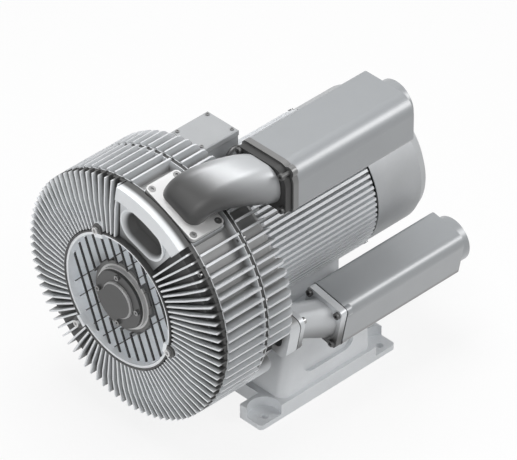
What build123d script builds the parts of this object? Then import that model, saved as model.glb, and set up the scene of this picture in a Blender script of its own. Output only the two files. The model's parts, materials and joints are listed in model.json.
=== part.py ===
from build123d import *
import math
import os

# Side channel blower. Millimetres, +Z up, +Y towards the motor, front cover facing -Y.
# The origin is the centre of the foot bolt pattern on the mounting plane.

# Blower axis and casing
AXIS_HEIGHT = 288.0
RIM_RADIUS = 245.0
FIN_RADIUS = 250.0
ROOT_RADIUS = 226.0
SPIGOT_RADIUS = 207.7
BORE_RADIUS = 208.0
Y_COVER = -309.0
Y_CENTRE = -207.3
Y_REAR = -135.0
JOINT_GAP = 0.3
SCREW_SEAT = 0.3
RIM_THICKNESS = 5.0
FIN_THICKNESS = 4.2
COVER_FINS = 90
BAND_FINS = 72

# Front hub
POCKET_RADIUS = 137.0
Y_OPENING = -347.0
HUB_RADIUS = 62.0
HUB_STEP_RADIUS = 73.0
LUG_ANGLES = (108, -14, -134)
LUG_CIRCLE = 146.0

BOWL_RADIUS = 188.0
BOWL_ANGLE = 71.0
BOWL_Y = -340.0

# Side channels and impellers
CHANNEL_IN = 154.0
CHANNEL_OUT = 205.0
Y_FIRST = -298.5
Y_SECOND = -211.5
IMPELLER_WIDTH = 36.0
IMPELLER_RADIUS = 207.5
IMPELLER_CLEARANCE = 0.5
BLADES = 36
BLADE_THICKNESS = 4.0

# Shaft
SHAFT_RADIUS = 21.0
FRONT_JOURNAL = 20.0
DRIVE_JOURNAL = 22.5
FAN_SEAT = 16.0
FIT = 0.03
KEY_WIDTH = 12.0

# Motor
FIN_TIP_RADIUS = 142.0
BARREL_RADIUS = 122.0
BARREL_BORE = 100.0
MOTOR_FINS = 76
Y_FRAME = -99.7
Y_FRAME_END = 180.0
CORE_START = -50.0
CORE_END = 110.0
HOOD_RADIUS = 139.5
HOOD_SHEET = 2.0
Y_HOOD = 184.0
Y_HOOD_BEVEL = 296.0
Y_HOOD_END = 331.0

# Terminal box
BOX_X = -56.0
BOX_Y = -72.0
BOX_WIDTH = 82.0
BOX_LENGTH = 94.0
BOX_SEAT = AXIS_HEIGHT + 142.0
BOX_LID_TOP = BOX_SEAT + 68.0
GLAND_Z = BOX_SEAT + 32.0
TERMINAL_Z = BOX_SEAT + 11.0
EYE_Y = -50.0
EYE_SEAT = AXIS_HEIGHT + 144.0

# Ports, elbows and silencers
PORT_ANGLE = 67.0
PORT_Y = -266.0
PORT_SEAT = 236.0
PORT_LENGTH = 135.0
PORT_WIDTH = 81.0
GASKET = 1.6
SILENCER_LENGTH = 294.0
SILENCER_WALL = 4.0
STUB_RADIUS = 45.0
STUB_BORE = 37.5
STUB_LENGTH = 20.0
# Each row: height over the port, y, share of the way across, lean and growth of the section.
ELBOW_PATH = ((30.0, -258.0, 0.06, 36, 0.25), (55.0, -222.0, 0.34, 74, 0.6), (56.0, -131.0, 1.0, 90, 1.0))
UPPER_CENTRE = (158.0, -109.0, AXIS_HEIGHT + 247.5)
UPPER_SIZE = (130.0, 96.0)
LOWER_CENTRE = (212.0, -8.0, AXIS_HEIGHT - 90.0)
LOWER_SIZE = (90.0, 94.0)
LOWER_TURN = 11.0
LOWER_PORT = (190.0, -112.0, AXIS_HEIGHT - 81.0)
LOWER_FLANGE = 80.0
LOWER_BOLTS = 30.0
SILENCER_BOLTS = 36.0

# Foot
FOOT_HALF_X = 197.0
FOOT_HALF_Y = 175.0
BOLT_X = 180.0
BOLT_Y = 150.0
BOLT_HOLE = 7.0
FOOT_BASE = 32.0
FOOT_PAD = 11.0
PEDESTAL_TOP = AXIS_HEIGHT - 152.0
MOTOR_FOOT_GAP = 0.6
MOTOR_FOOT_THICKNESS = 14.0
MOTOR_FOOT_REACH = 68.6

AXIS = Axis((0, 0, AXIS_HEIGHT), (0, 1, 0))


# Shared shapes

def about(angle):
    return Pos(0, 0, AXIS_HEIGHT) * Rot(0, -angle, 0)


def turned(*points, arc=360, start=0):
    face = make_face(Polyline(*points, close=True))
    return about(start) * revolve(face, Axis.Y, -arc)


def tube(inner, outer, y0, y1):
    return turned((inner, y0), (outer, y0), (outer, y1), (inner, y1))


def rod(radius, y0, y1, x=0.0, z=AXIS_HEIGHT):
    return Pos(x, (y0 + y1) / 2, z) * Rot(90, 0, 0) * Cylinder(radius, y1 - y0)


def ring_of(shape, count, first=0.0, keep=lambda angle: True):
    angles = [first + k * 360 / count for k in range(count)]
    return [about(a) * shape for a in angles if keep(a)]


def plate(points, thickness):
    face = make_face(Polyline(*points, close=True))
    return extrude(face, thickness / 2, both=True)


def screw(radius, length, head_radius, head_height):
    head = Pos(0, 0, head_height / 2) * Cylinder(head_radius, head_height)
    shank = Pos(0, 0, -length / 2) * Cylinder(radius, length)
    socket = Pos(0, 0, head_height / 2) * extrude(RegularPolygon(head_radius * 0.55, 6), head_height)
    return head + shank - socket


def front_facing(x, y, z):
    return Pos(x, y, z) * Rot(90, 0, 0)


def rear_facing(x, y, z):
    return Pos(x, y, z) * Rot(-90, 0, 0)


def at_angle(radius, angle):
    t = math.radians(angle)
    return radius * math.cos(t), AXIS_HEIGHT + radius * math.sin(t)


def within(angle, low, high):
    return low < (angle + 180) % 360 - 180 < high


# Casing

RIM_SCREW_CIRCLE = 238.0
RIM_SCREW_RADIUS = 3.0
RIM_HEAD_RADIUS = 5.0
COVER_SCREW_ANGLES = [a for a in range(-178, 180, 36) if not within(a, 45, 95)]
REAR_SCREW_ANGLES = [a + 0.5 for a in range(-168, 180, 30) if not within(a, -45, -5)]


def rim_places(angles):
    return [at_angle(RIM_SCREW_CIRCLE, a) for a in angles]


def rim_holes(angles, y0, y1):
    return [rod(RIM_SCREW_RADIUS + 0.15, y0, y1, x, z) for x, z in rim_places(angles)]


def channel(y0, y1, start):
    points = ((CHANNEL_IN, y0), (CHANNEL_OUT, y0), (CHANNEL_OUT - 12, y1), (CHANNEL_IN + 12, y1))
    return turned(*points, arc=300, start=start)


def port_plane(distance):
    t = math.radians(PORT_ANGLE)
    nx, nz = math.cos(t), math.sin(t)
    origin = (distance * nx, PORT_Y, AXIS_HEIGHT + distance * nz)
    return Plane(origin=origin, x_dir=(nz, 0, -nx), z_dir=(nx, 0, nz))


def front_cover():
    face = Y_COVER - RIM_THICKNESS
    body = turned(
        (60.3, -299), (SPIGOT_RADIUS, -299), (SPIGOT_RADIUS, Y_COVER), (RIM_RADIUS, Y_COVER),
        (RIM_RADIUS, face), (231, face), (225, -325), (150, -325), (POCKET_RADIUS + 4, -327),
        (POCKET_RADIUS + 3, Y_OPENING), (POCKET_RADIUS, Y_OPENING), (POCKET_RADIUS, Y_COVER), (60.3, Y_COVER))
    tip = FIN_RADIUS - 0.5
    outline = (
        (139, -320), (139, -345.5), (200, -341), (tip, -331), (tip, -312), (RIM_RADIUS - 2, -311), (225, -315))
    fins = ring_of(plate(outline, 3.4), COVER_FINS, 0, lambda a: not within(a, 50, 92))
    chest = turned((139, -337), (228, -333), (228, -312), (139, -312), arc=38, start=52)
    band = turned((225, -344), (tip, -339), (tip, -312), (225, -312), arc=40, start=51)
    lugs = [rod(12, Y_OPENING, -320, *at_angle(LUG_CIRCLE, a)) for a in LUG_ANGLES]
    lip, bowl = inlet_bowl(SlotOverall(114, 71), 14, 4), inlet_bowl(SlotOverall(106, 63), 21.5, 33)
    body = body + fins + chest + band + lugs + lip
    body = body - rod(POCKET_RADIUS, Y_OPENING - 1, Y_COVER)
    body = body - [channel(-299, -317, 100), bowl] - rim_holes(COVER_SCREW_ANGLES, -330, -300)
    return body - [rod(4.15, -354, -328, *at_angle(LUG_CIRCLE, a)) for a in LUG_ANGLES]


def inlet_bowl(outline, depth, taper):
    # The blended hollow in front of the upper port, set out from the blower axis.
    x, z = at_angle(BOWL_RADIUS, BOWL_ANGLE)
    shape = extrude(outline, depth, taper=taper)
    return Pos(x, BOWL_Y, z) * Rot(0, 90 - BOWL_ANGLE, 0) * Rot(-90, 0, 0) * shape


def hub_insert():
    wall = POCKET_RADIUS - JOINT_GAP
    floor = Y_COVER - JOINT_GAP
    body = turned(
        (31, -299), (60, -299), (60, floor), (wall, floor), (wall, Y_OPENING + 2), (wall - 5, Y_OPENING + 2),
        (wall - 8, -317), (HUB_STEP_RADIUS, -317), (HUB_STEP_RADIUS, -330), (HUB_RADIUS, -330),
        (HUB_RADIUS, -338), (40.02, -338), (40.02, -314), (31, -314))
    body = body + hub_slats(112, [6 + 24 * k for k in range(-5, 5)], 3.0, -337)
    body = body + hub_slats(47, [28 * k - 70 for k in range(6)], 2.0, -335)
    for angle in LUG_ANGLES:
        body += rod(11.5, -352, Y_OPENING - JOINT_GAP, *at_angle(LUG_CIRCLE, angle))
        body += about(angle) * Pos(LUG_CIRCLE - 8, -349.65, 0) * Box(16, 4.7, 22)
        body += about(angle) * Pos(132.5, -346.5, 0) * Box(6, 11, 22)
    body = body - [rod(4.15, -354, -340, *at_angle(LUG_CIRCLE, a)) for a in LUG_ANGLES]
    return body - [rod(3.1, -340, -322, *at_angle(51, a)) for a in CAP_ANGLES]


def hub_slats(angle, offsets, thickness, front):
    # Straight cooling slats that run side by side across the pocket and stop at the hub.
    clear = tube(HUB_STEP_RADIUS - 0.5, POCKET_RADIUS - 7, front, -316)
    bars = [Pos(0, (front - 316) / 2, off) * Box(300, -316 - front, thickness) for off in offsets]
    slats = []
    for bar in bars:
        slats += (about(angle) * bar & clear).solids()
    return slats


CAP_ANGLES = (0, 90, 180, 270)


def bearing_cap():
    body = turned(
        (0, -350), (34, -350), (37, -347), (37, -343.5), (58, -343.5), (58, -338.3),
        (39.8, -338.3), (39.8, -332.4), (35, -332.4), (35, -346), (0, -346))
    return body - [rod(3.2, -345, -337, *at_angle(51, a)) for a in CAP_ANGLES]


def cap_screws():
    one = screw(3.0, 18, 5.2, 4.5)
    places = [at_angle(51, a) for a in CAP_ANGLES]
    return [front_facing(x, -343.8, z) * one for x, z in places]


def lug_screws():
    one = screw(4.0, 22, 7.0, 5.0)
    places = [at_angle(LUG_CIRCLE, a) for a in LUG_ANGLES]
    return [front_facing(x, -352.3, z) * one for x, z in places]


def rim_screws():
    one = screw(RIM_SCREW_RADIUS, 12, RIM_HEAD_RADIUS, 4.5)
    front = Y_COVER - RIM_THICKNESS - SCREW_SEAT
    rear = Y_CENTRE + JOINT_GAP + RIM_THICKNESS + SCREW_SEAT
    screws = [front_facing(x, front, z) * one for x, z in rim_places(COVER_SCREW_ANGLES)]
    return screws + [rear_facing(x, rear, z) * one for x, z in rim_places(REAR_SCREW_ANGLES)]


def centre_housing():
    front = Y_COVER + JOINT_GAP
    body = turned(
        (30.3, -262), (BORE_RADIUS, -262), (BORE_RADIUS, front), (RIM_RADIUS, front),
        (RIM_RADIUS, front + RIM_THICKNESS), (ROOT_RADIUS, front + RIM_THICKNESS + 2),
        (ROOT_RADIUS, Y_CENTRE - RIM_THICKNESS - 2), (RIM_RADIUS, Y_CENTRE - RIM_THICKNESS),
        (RIM_RADIUS, Y_CENTRE), (BORE_RADIUS, Y_CENTRE), (BORE_RADIUS, -212), (30.3, -212))
    outline = (
        (ROOT_RADIUS - 3, front + 4), (RIM_RADIUS - 2, front + 1.5), (FIN_RADIUS, front + 3),
        (FIN_RADIUS, Y_CENTRE - 3), (RIM_RADIUS - 2, Y_CENTRE - 1.5), (ROOT_RADIUS - 3, Y_CENTRE - 4))
    fins = ring_of(plate(outline, FIN_THICKNESS), BAND_FINS, 0, lambda a: not within(a, 47, 87))
    block = port_plane(0) * Pos(0, 0, (195 + PORT_SEAT) / 2) * Box(PORT_LENGTH, PORT_WIDTH, PORT_SEAT - 195)
    over_port = port_plane(PORT_SEAT) * Pos(0, 0, 20) * Box(PORT_LENGTH + 4, PORT_WIDTH + 4, 40)
    bores = [rod(BORE_RADIUS, front - 1, -262), rod(BORE_RADIUS, -212, Y_CENTRE + 1)]
    body = body + fins + block - [over_port] - bores
    duct = port_plane(0) * Pos(0, 0, 212) * extrude(RectangleRounded(80, 44, 12), 30)
    first = channel(-262.1, -244, 100)
    second = channel(-211.9, -230, -65)
    well = port_plane(0) * Pos(0, 6, 180) * extrude(RectangleRounded(80, 30, 10), 34)
    body = body - [duct, well, first, second]
    body = body - tube(216, 220, front - 0.1, front + 3)
    body = body - tube(216, 220, Y_CENTRE - 3, Y_CENTRE + 0.1)
    body = body - rim_holes(COVER_SCREW_ANGLES, front - 1, front + 9)
    body = body - rim_holes(REAR_SCREW_ANGLES, Y_CENTRE - 9, Y_CENTRE + 1)
    return body - port_screw_holes(port_plane(PORT_SEAT))


def seal_rings():
    front = Y_COVER + JOINT_GAP
    return [tube(216.2, 219.8, front - 0.25, front + 2.7), tube(216.2, 219.8, Y_CENTRE - 2.7, Y_CENTRE + 0.25)]


def rear_housing():
    front = Y_CENTRE + JOINT_GAP
    body = turned(
        (31, -175), (BORE_RADIUS, -175), (BORE_RADIUS, front), (RIM_RADIUS, front),
        (RIM_RADIUS, front + RIM_THICKNESS), (229, front + RIM_THICKNESS), (ROOT_RADIUS, front + RIM_THICKNESS + 2),
        (ROOT_RADIUS, -150), (212, Y_REAR), (31, Y_REAR))
    outline = (
        (ROOT_RADIUS - 4, front + 4), (RIM_RADIUS - 2, front + 1.5), (FIN_RADIUS, front + 3), (FIN_RADIUS, -153),
        (FIN_RADIUS - 3, -145), (FIN_RADIUS - 10, -139), (ROOT_RADIUS - 4, -137.5))
    fins = ring_of(plate(outline, FIN_THICKNESS), BAND_FINS, 0, lambda a: not within(a, -36, -11))
    px, py, pz = LOWER_PORT
    block = lower_port_frame(Y_REAR - 3) * extrude(lower_flange_outline(), py - Y_REAR + 3)
    cx, _, cz = UPPER_CENTRE
    relief = Pos(cx, -138, cz) * Box(UPPER_SIZE[0] + 12, 28, UPPER_SIZE[1] + 12)
    body = body + fins + block - relief
    duct = lower_port_frame(-170) * extrude(RectangleRounded(48, 48, 14), 62)
    body = body - [channel(-175, -156.5, -65), duct]
    body = body - rim_holes(REAR_SCREW_ANGLES, front - 1, front + RIM_THICKNESS + 3)
    body = body - [rod(5.15, -160, -134, *at_angle(125, a)) for a in SHIELD_ANGLES]
    return body - [rod(4.15, -136, -111, x, z) for x, z in lower_bolts(LOWER_PORT, LOWER_BOLTS)]


def lower_port_frame(y):
    return Pos(LOWER_PORT[0], y, LOWER_PORT[2]) * Rot(0, LOWER_TURN, 0) * Rot(-90, 0, 0)


def lower_flange_outline():
    return RectangleRounded(LOWER_FLANGE, LOWER_FLANGE, 16)


SHIELD_ANGLES = (45, 135, 225, 315)
FRAME_ANGLES = (0, 90, 180, 270)
FRAME_SCREW_CIRCLE = 109.0


# Port hardware

def port_bolt_points():
    return [(sx * (PORT_LENGTH / 2 - 10), sy * (PORT_WIDTH / 2 - 10)) for sx in (-1, 1) for sy in (-1, 1)]


def port_screw_holes(plane):
    return [plane * Pos(x, y, -9) * Cylinder(4.15, 20) for x, y in port_bolt_points()]


def lower_bolts(centre, half):
    cx, _, cz = centre
    t = math.radians(-LOWER_TURN)
    points = [(sx * half, sz * half) for sx in (-1, 1) for sz in (-1, 1)]
    return [(cx + x * math.cos(t) - z * math.sin(t), cz + x * math.sin(t) + z * math.cos(t)) for x, z in points]


def upper_bolts(half_x=54.0, half_z=37.0):
    cx, _, cz = UPPER_CENTRE
    return [(cx + sx * half_x, cz + sz * half_z) for sx in (-1, 1) for sz in (-1, 1)]


def port_gasket():
    plane = port_plane(PORT_SEAT + 0.2)
    outline = RectangleRounded(PORT_LENGTH, PORT_WIDTH, 9) - RectangleRounded(80, 44, 12)
    body = plane * extrude(outline, GASKET)
    return body - port_screw_holes(port_plane(PORT_SEAT + 5))


def bezier(points, t):
    a, b, c, d = points
    k = ((1 - t) ** 3, 3 * (1 - t) ** 2 * t, 3 * (1 - t) * t * t, t ** 3)
    return tuple(sum(w * p[i] for w, p in zip(k, (a, b, c, d))) for i in range(3))


def silencer_outline(size, big, small, inset=0.0):
    w, h = size[0] / 2 - inset, size[1] / 2 - inset
    big, small = max(big - inset, 2), max(small - inset, 2)
    q = math.sqrt(0.5)
    return make_face([
        Line((-w + small, h), (w - big, h)),
        ThreePointArc((w - big, h), (w - big + big * q, h - big + big * q), (w, h - big)),
        Line((w, h - big), (w, -h + small)),
        ThreePointArc((w, -h + small), (w - small + small * q, -h + small - small * q), (w - small, -h)),
        Line((w - small, -h), (-w + small, -h)),
        ThreePointArc((-w + small, -h), (-w + small - small * q, -h + small - small * q), (-w, -h + small)),
        Line((-w, -h + small), (-w, h - small)),
        ThreePointArc((-w, h - small), (-w + small - small * q, h - small + small * q), (-w + small, h)),
    ])


def silencer_frame(centre, turn):
    # Local X across, local Y up, local Z towards the front.
    return Pos(*centre) * Rot(0, turn, 0) * Rot(90, 0, 0)


def upper_duct(start, root, end):
    # Sections leave the port, lean over to the rear and end level at the silencer.
    plane = port_plane(PORT_SEAT + 0.4 + GASKET)
    centre = Vector(*UPPER_CENTRE)
    sections = []
    for out, y, side, lean, grown in ((start, PORT_Y, 0, 0, 0), *ELBOW_PATH):
        t = math.radians(lean)
        facing = plane.z_dir * math.cos(t) + Vector(0, 1, 0) * math.sin(t)
        across = plane.x_dir * (1 - side) + Vector(1, 0, 0) * side
        spot = (plane * Pos(0, 0, out)).position * (1 - side) + centre * side
        place = Plane(origin=(spot.X, y, spot.Z), x_dir=across - facing * across.dot(facing), z_dir=facing)
        size = [a + (b - a) * grown for a, b in zip(root, end)]
        sections.append(place * RectangleRounded(*size))
    return loft(sections)


def upper_elbow():
    plane = port_plane(PORT_SEAT + 0.4 + GASKET)
    flange = plane * extrude(RectangleRounded(PORT_LENGTH, PORT_WIDTH, 9), 8.6)
    cx, y_body, cz = UPPER_CENTRE
    y_end = y_body - 12 - 0.4 - GASKET
    neck = silencer_frame((cx, y_end, cz), 0) * extrude(silencer_outline(UPPER_SIZE, 36, 10, 3), 14)
    body = flange + upper_duct(4, (92, 50, 20), (102, 78, 35)) + neck
    body = body - upper_duct(2, (76, 38, 12), (80, 62, 27))
    mouth = silencer_frame((cx, y_end + 1, cz), 0) * extrude(RectangleRounded(80, 62, 27), 12)
    throat = port_plane(PORT_SEAT) * extrude(RectangleRounded(76, 38, 12), 8)
    body = body - mouth - throat
    body = body - [rod(4.15, y_end - 20, y_end + 1, x, z) for x, z in upper_bolts()]
    sunk = [plane * Pos(x, y, 6.6) * Cylinder(7.2, 6) for x, y in port_bolt_points()]
    return body - port_screw_holes(port_plane(PORT_SEAT + 10)) - sunk


def elbow_screws():
    one = screw(4.0, 16, 6.8, 4.4)
    plane = port_plane(PORT_SEAT + 0.4 + GASKET + 3.9)
    upper = [plane * Pos(x, y, 0) * one for x, y in port_bolt_points()]
    y_seat = LOWER_PORT[1] + 0.4 + GASKET + 10.2
    long_screw = screw(4.0, 24, 6.8, 6.0)
    places = lower_bolts(LOWER_PORT, LOWER_BOLTS)
    return upper + [rear_facing(x, y_seat, z) * long_screw for x, z in places]


def upper_gasket():
    cx, y_body, cz = UPPER_CENTRE
    frame = silencer_frame((cx, y_body - 12 - 0.2, cz), 0)
    outline = silencer_outline(UPPER_SIZE, 36, 10, 3) - RectangleRounded(80, 62, 28)
    body = frame * extrude(outline, GASKET)
    return body - [rod(4.15, y_body - 16, y_body - 10, x, z) for x, z in upper_bolts()]


def silencer_body(centre, size, big, small, turn, bolts):
    cx, y_body, cz = centre
    shell = extrude(silencer_outline(size, big, small), -SILENCER_LENGTH)
    flange = extrude(silencer_outline(size, big, small, -1.0), 12)
    room = Pos(0, 0, 13) * extrude(silencer_outline(size, big, small, SILENCER_WALL), -(SILENCER_LENGTH + 13 - 8))
    body = silencer_frame(centre, turn) * (shell + flange - room)
    y_end = y_body + SILENCER_LENGTH
    body += rod(STUB_RADIUS, y_end - 16, y_end + STUB_LENGTH, cx, cz) & silencer_reach(centre, turn, size)
    for x, z in bolts:
        body += rod(11, y_body - 12, y_body, x, z)
    body = body - rod(STUB_BORE, y_end - 20, y_end + STUB_LENGTH + 1, cx, cz)
    return body - [rod(4.15, y_body - 13, y_body + 1, x, z) for x, z in bolts]


def silencer_reach(centre, turn, size):
    cx, y_body, cz = centre
    y_end = y_body + SILENCER_LENGTH
    inside = silencer_frame((cx, y_end, cz), turn) * extrude(silencer_outline(size, 20, 8, 2), 40)
    outside = rod(STUB_RADIUS + 1, y_end - 0.5, y_end + STUB_LENGTH + 1, cx, cz)
    return inside + outside


def upper_silencer():
    return silencer_body(UPPER_CENTRE, UPPER_SIZE, 36, 10, 0, upper_bolts())


def lower_silencer():
    return silencer_body(LOWER_CENTRE, LOWER_SIZE, 22, 8, LOWER_TURN, lower_bolts(LOWER_CENTRE, SILENCER_BOLTS))


def foam_liner(centre, size, big, small, turn, hole):
    outline = silencer_outline(size, big, small, SILENCER_WALL + 0.3)
    block = extrude(outline, -(SILENCER_LENGTH - 30)) - Cylinder(hole, 700)
    return silencer_frame(centre, turn) * block


def silencer_screws():
    one = screw(4.0, 28, 6.8, 6.0)
    cx, y_body, cz = UPPER_CENTRE
    y_seat = y_body - 12 - 0.4 - GASKET - 14 - 0.2
    upper = [front_facing(x, y_seat, z) * one for x, z in upper_bolts()]
    cx, y_body, cz = LOWER_CENTRE
    y_seat = y_body - 12 - 0.4 - GASKET - 14 - 0.2
    lower = [front_facing(x, y_seat, z) * one for x, z in lower_bolts(LOWER_CENTRE, SILENCER_BOLTS)]
    return upper + lower


def lower_elbow():
    px, py, pz = LOWER_PORT
    cx, y_body, cz = LOWER_CENTRE
    y_start = py + 0.4 + GASKET
    y_end = y_body - 12 - 0.4 - GASKET
    flange = lower_port_frame(y_start) * extrude(lower_flange_outline(), 10)
    path = ((px, y_start + 4, pz), (px, y_start + 34, pz), (cx, y_end - 34, cz), (cx, y_end - 6, cz))
    across = (math.cos(math.radians(LOWER_TURN)), 0, -math.sin(math.radians(LOWER_TURN)))
    outer = loft(turned_sections(path, across, ((60, 60, 22), (76, 76, 33)), 4))
    last = silencer_frame((cx, y_end, cz), LOWER_TURN) * extrude(RectangleRounded(90, 94, 8), 14)
    inner = loft(turned_sections(path, across, ((48, 48, 14), (62, 62, 26)), 4))
    body = flange + outer + last - inner
    mouth = silencer_frame((cx, y_end + 1, cz), LOWER_TURN) * extrude(RectangleRounded(62, 62, 26), 8)
    throat = lower_port_frame(y_start - 1) * extrude(RectangleRounded(48, 48, 14), 6)
    body = body - mouth - throat
    body = body - [rod(4.15, y_start - 1, y_start + 11, x, z) for x, z in lower_bolts(LOWER_PORT, LOWER_BOLTS)]
    return body - [rod(4.15, y_end - 15, y_end + 1, x, z) for x, z in lower_bolts(LOWER_CENTRE, SILENCER_BOLTS)]


def turned_sections(points, across, sizes, steps):
    sections = []
    for i in range(steps + 1):
        t = i / steps
        (w0, h0, r0), (w1, h1, r1) = sizes
        width, height, corner = w0 + (w1 - w0) * t, h0 + (h1 - h0) * t, r0 + (r1 - r0) * t
        plane = Plane(origin=bezier(points, t), x_dir=across, z_dir=(0, 1, 0))
        sections.append(plane * RectangleRounded(width, height, corner))
    return sections


def lower_port_gasket():
    y = LOWER_PORT[1] + 0.2
    body = lower_port_frame(y) * extrude(lower_flange_outline() - RectangleRounded(48, 48, 14), GASKET)
    return body - [rod(4.15, y - 1, y + 4, x, z) for x, z in lower_bolts(LOWER_PORT, LOWER_BOLTS)]


def lower_gasket():
    cx, y_body, cz = LOWER_CENTRE
    frame = silencer_frame((cx, y_body - 12 - 0.2, cz), LOWER_TURN)
    body = frame * extrude(RectangleRounded(90, 94, 8) - RectangleRounded(62, 62, 26), GASKET)
    return body - [rod(4.15, y_body - 16, y_body - 10, x, z) for x, z in lower_bolts(LOWER_CENTRE, SILENCER_BOLTS)]


# Rotor

def impeller(y0):
    y1 = y0 + IMPELLER_WIDTH
    mid = (y0 + y1) / 2
    bore = SHAFT_RADIUS + FIT
    body = turned(
        (bore, y0), (45, y0), (48, mid - 6), (140, mid - 6), (142, y0), (CHANNEL_IN - 1, y0),
        (CHANNEL_IN + 3, mid - 3), (IMPELLER_RADIUS, mid - 1.5), (IMPELLER_RADIUS, mid + 1.5),
        (CHANNEL_IN + 3, mid + 3), (CHANNEL_IN - 1, y1), (142, y1), (140, mid + 6), (48, mid + 6), (45, y1), (bore, y1))
    inner = CHANNEL_IN - 3
    blade = Pos((inner + IMPELLER_RADIUS - 0.3) / 2, mid, 0) * Box(
        IMPELLER_RADIUS - 0.3 - inner, IMPELLER_WIDTH, BLADE_THICKNESS)
    body = body + ring_of(blade, BLADES, 2.5)
    slot = Pos(0, mid, AXIS_HEIGHT + SHAFT_RADIUS) * Box(KEY_WIDTH + 0.1, IMPELLER_WIDTH + 2, 6.8)
    return body - slot


def shaft_keys():
    keys = []
    for y0 in (Y_FIRST, Y_SECOND):
        mid = y0 + IMPELLER_WIDTH / 2
        keys.append(Pos(0, mid, AXIS_HEIGHT + SHAFT_RADIUS - 0.9) * Box(KEY_WIDTH, 30, 8))
    return keys


def rotor_shaft():
    body = turned(
        (0, -345), (FRONT_JOURNAL - FIT, -345), (FRONT_JOURNAL - FIT, -313.8), (SHAFT_RADIUS, -313.8),
        (SHAFT_RADIUS, -140), (DRIVE_JOURNAL + 3, -140), (DRIVE_JOURNAL + 3, -134), (DRIVE_JOURNAL - FIT, -134),
        (DRIVE_JOURNAL - FIT, -102.7), (28, -102.7), (28, -60), (31 - FIT, -60), (31 - FIT, 120), (26, 120), (26, 161.7),
        (FRONT_JOURNAL - FIT, 161.7), (FRONT_JOURNAL - FIT, 182), (FAN_SEAT, 182), (FAN_SEAT, 234), (0, 234))
    for y0 in (Y_FIRST, Y_SECOND):
        mid = y0 + IMPELLER_WIDTH / 2
        body = body - Pos(0, mid, AXIS_HEIGHT + SHAFT_RADIUS) * Box(KEY_WIDTH + 0.1, 30.2, 10)
    return body


def rotor_core():
    body = tube(31, 61.6, CORE_START, CORE_END)
    rings = tube(44, 60, CORE_START - 12, CORE_START + 1) + tube(44, 60, CORE_END - 1, CORE_END + 12)
    return body + rings


def cooling_fan():
    body = turned(
        (FAN_SEAT + FIT, 198), (28, 198), (28, 203), (108, 206), (108, 209), (28, 209), (28, 232), (FAN_SEAT + FIT, 232))
    blade = plate(((26, 208), (112, 208), (120, 240), (50, 240), (26, 230)), 3.0)
    return body + ring_of(blade, 9, 10)


def bearing(y0, width, inner, outer, part):
    mid = y0 + width / 2
    pitch = (inner + outer) / 2
    ball = (outer - inner) * 0.27
    if part == "inner":
        return tube(inner, inner + (outer - inner) * 0.3, y0, y0 + width) - ball_groove(pitch, mid, ball + 0.03)
    if part == "outer":
        return tube(outer - (outer - inner) * 0.3, outer, y0, y0 + width) - ball_groove(pitch, mid, ball + 0.03)
    balls = ring_of(Pos(pitch, mid, 0) * Sphere(ball), 9, 12)
    cage = tube(pitch - 1.5, pitch + 1.5, mid - ball * 0.45, mid + ball * 0.45)
    return cage + balls


def ball_groove(pitch, mid, radius):
    return Pos(0, mid, AXIS_HEIGHT) * Rot(90, 0, 0) * Torus(pitch, radius)


# Motor

def drive_end_shield():
    front = Y_REAR + JOINT_GAP
    body = turned(
        (26, front), (FIN_TIP_RADIUS, front), (FIN_TIP_RADIUS, -113), (FIN_TIP_RADIUS - 8, Y_FRAME - JOINT_GAP),
        (BARREL_BORE - 0.2, Y_FRAME - JOINT_GAP), (BARREL_BORE - 0.2, -92), (88, -92), (88, -118), (62, -118),
        (62, -100), (50.03, -100), (50.03, -128), (26, -128))
    body = body - [rod(5.15, front - 1, -112, *at_angle(125, a)) for a in SHIELD_ANGLES]
    body = body - [rod(8.6, -118, -98, *at_angle(125, a)) for a in SHIELD_ANGLES]
    body = body - [rod(4.15, front - 1, -99, *at_angle(FRAME_SCREW_CIRCLE, a)) for a in FRAME_ANGLES]
    return body - [rod(7.0, front - 1, -126, *at_angle(FRAME_SCREW_CIRCLE, a)) for a in FRAME_ANGLES]


def shield_screws():
    one = screw(5.0, 34, 8.0, 6.0)
    front = [rear_facing(x, -117.7, z) * one for x, z in (at_angle(125, a) for a in SHIELD_ANGLES)]
    return front


def frame_screws():
    one = screw(4.0, 46, 6.6, 6.0)
    short = screw(4.0, 26, 6.6, 6.0)
    places = [at_angle(FRAME_SCREW_CIRCLE, a) for a in FRAME_ANGLES]
    return [front_facing(x, -126.2, z) * one for x, z in places] + [rear_facing(x, 192.3, z) * short for x, z in places]


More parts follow.
